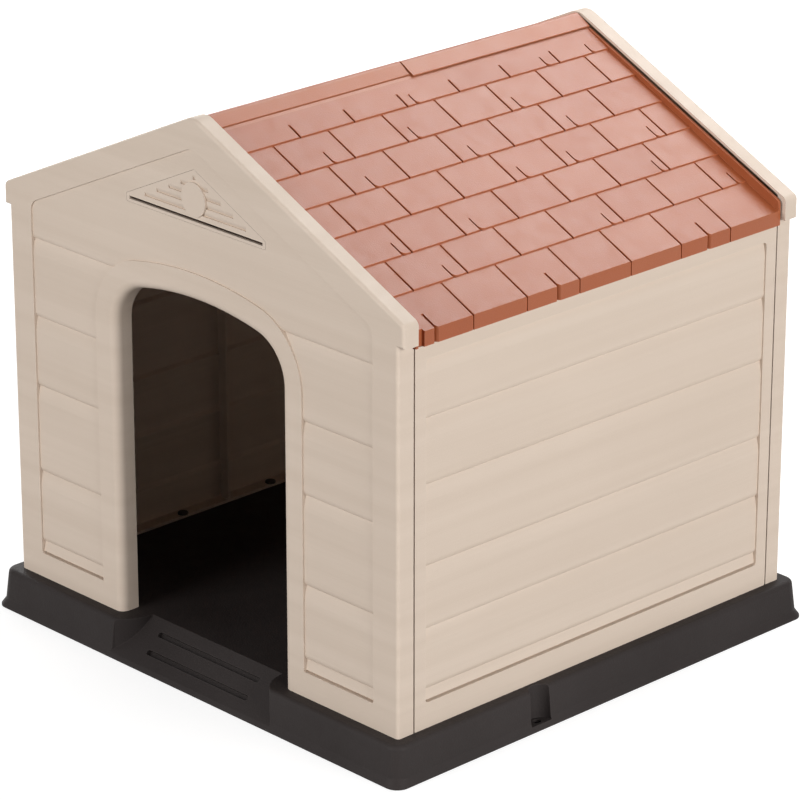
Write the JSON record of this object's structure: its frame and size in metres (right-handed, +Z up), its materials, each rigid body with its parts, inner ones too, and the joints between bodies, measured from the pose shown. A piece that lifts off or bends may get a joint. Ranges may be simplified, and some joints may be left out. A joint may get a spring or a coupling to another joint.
{
  "type": "plastic pet house",
  "caption": "Flat-pack plastic kennel: dark flared base tray with a doorway ramp, cream lap-board walls with gable vents, and a terracotta shingled roof that lifts off.",
  "frame": {"origin": "on the ground under the middle of the base tray", "axes": "+Z up, the doorway faces -Y, +X is the house's width towards the right-hand side wall"},
  "size_m": [0.84, 0.814, 0.8259],
  "materials": {
    "base_plastic": "satin moulded dark brown",
    "wall_plastic": "satin moulded cream",
    "vent_plastic": "satin moulded cream",
    "roof_plastic": "satin moulded terracotta",
    "rivet_plastic": "satin black"
  },
  "bodies": {
    "house": {"base_tray": "base_plastic", "front_wall": "wall_plastic", "rear_wall": "wall_plastic", "left_wall": "wall_plastic", "right_wall": "wall_plastic", "front_vent": "vent_plastic", "rear_vent": "vent_plastic", "front_base_rivets": "rivet_plastic", "rear_base_rivets": "rivet_plastic", "left_base_rivets": "rivet_plastic", "right_base_rivets": "rivet_plastic", "front_left_corner_rivets": "rivet_plastic", "rear_left_corner_rivets": "rivet_plastic", "front_right_corner_rivets": "rivet_plastic", "rear_right_corner_rivets": "rivet_plastic"},
    "roof": {"left_roof_panel": "roof_plastic", "right_roof_panel": "roof_plastic"}
  },
  "joints": [
    {"name": "roof_lift", "type": "slide", "parent": "house", "child": "roof", "axis": [0, 0, 1], "range_m": [0, 0.24]}
  ]
}
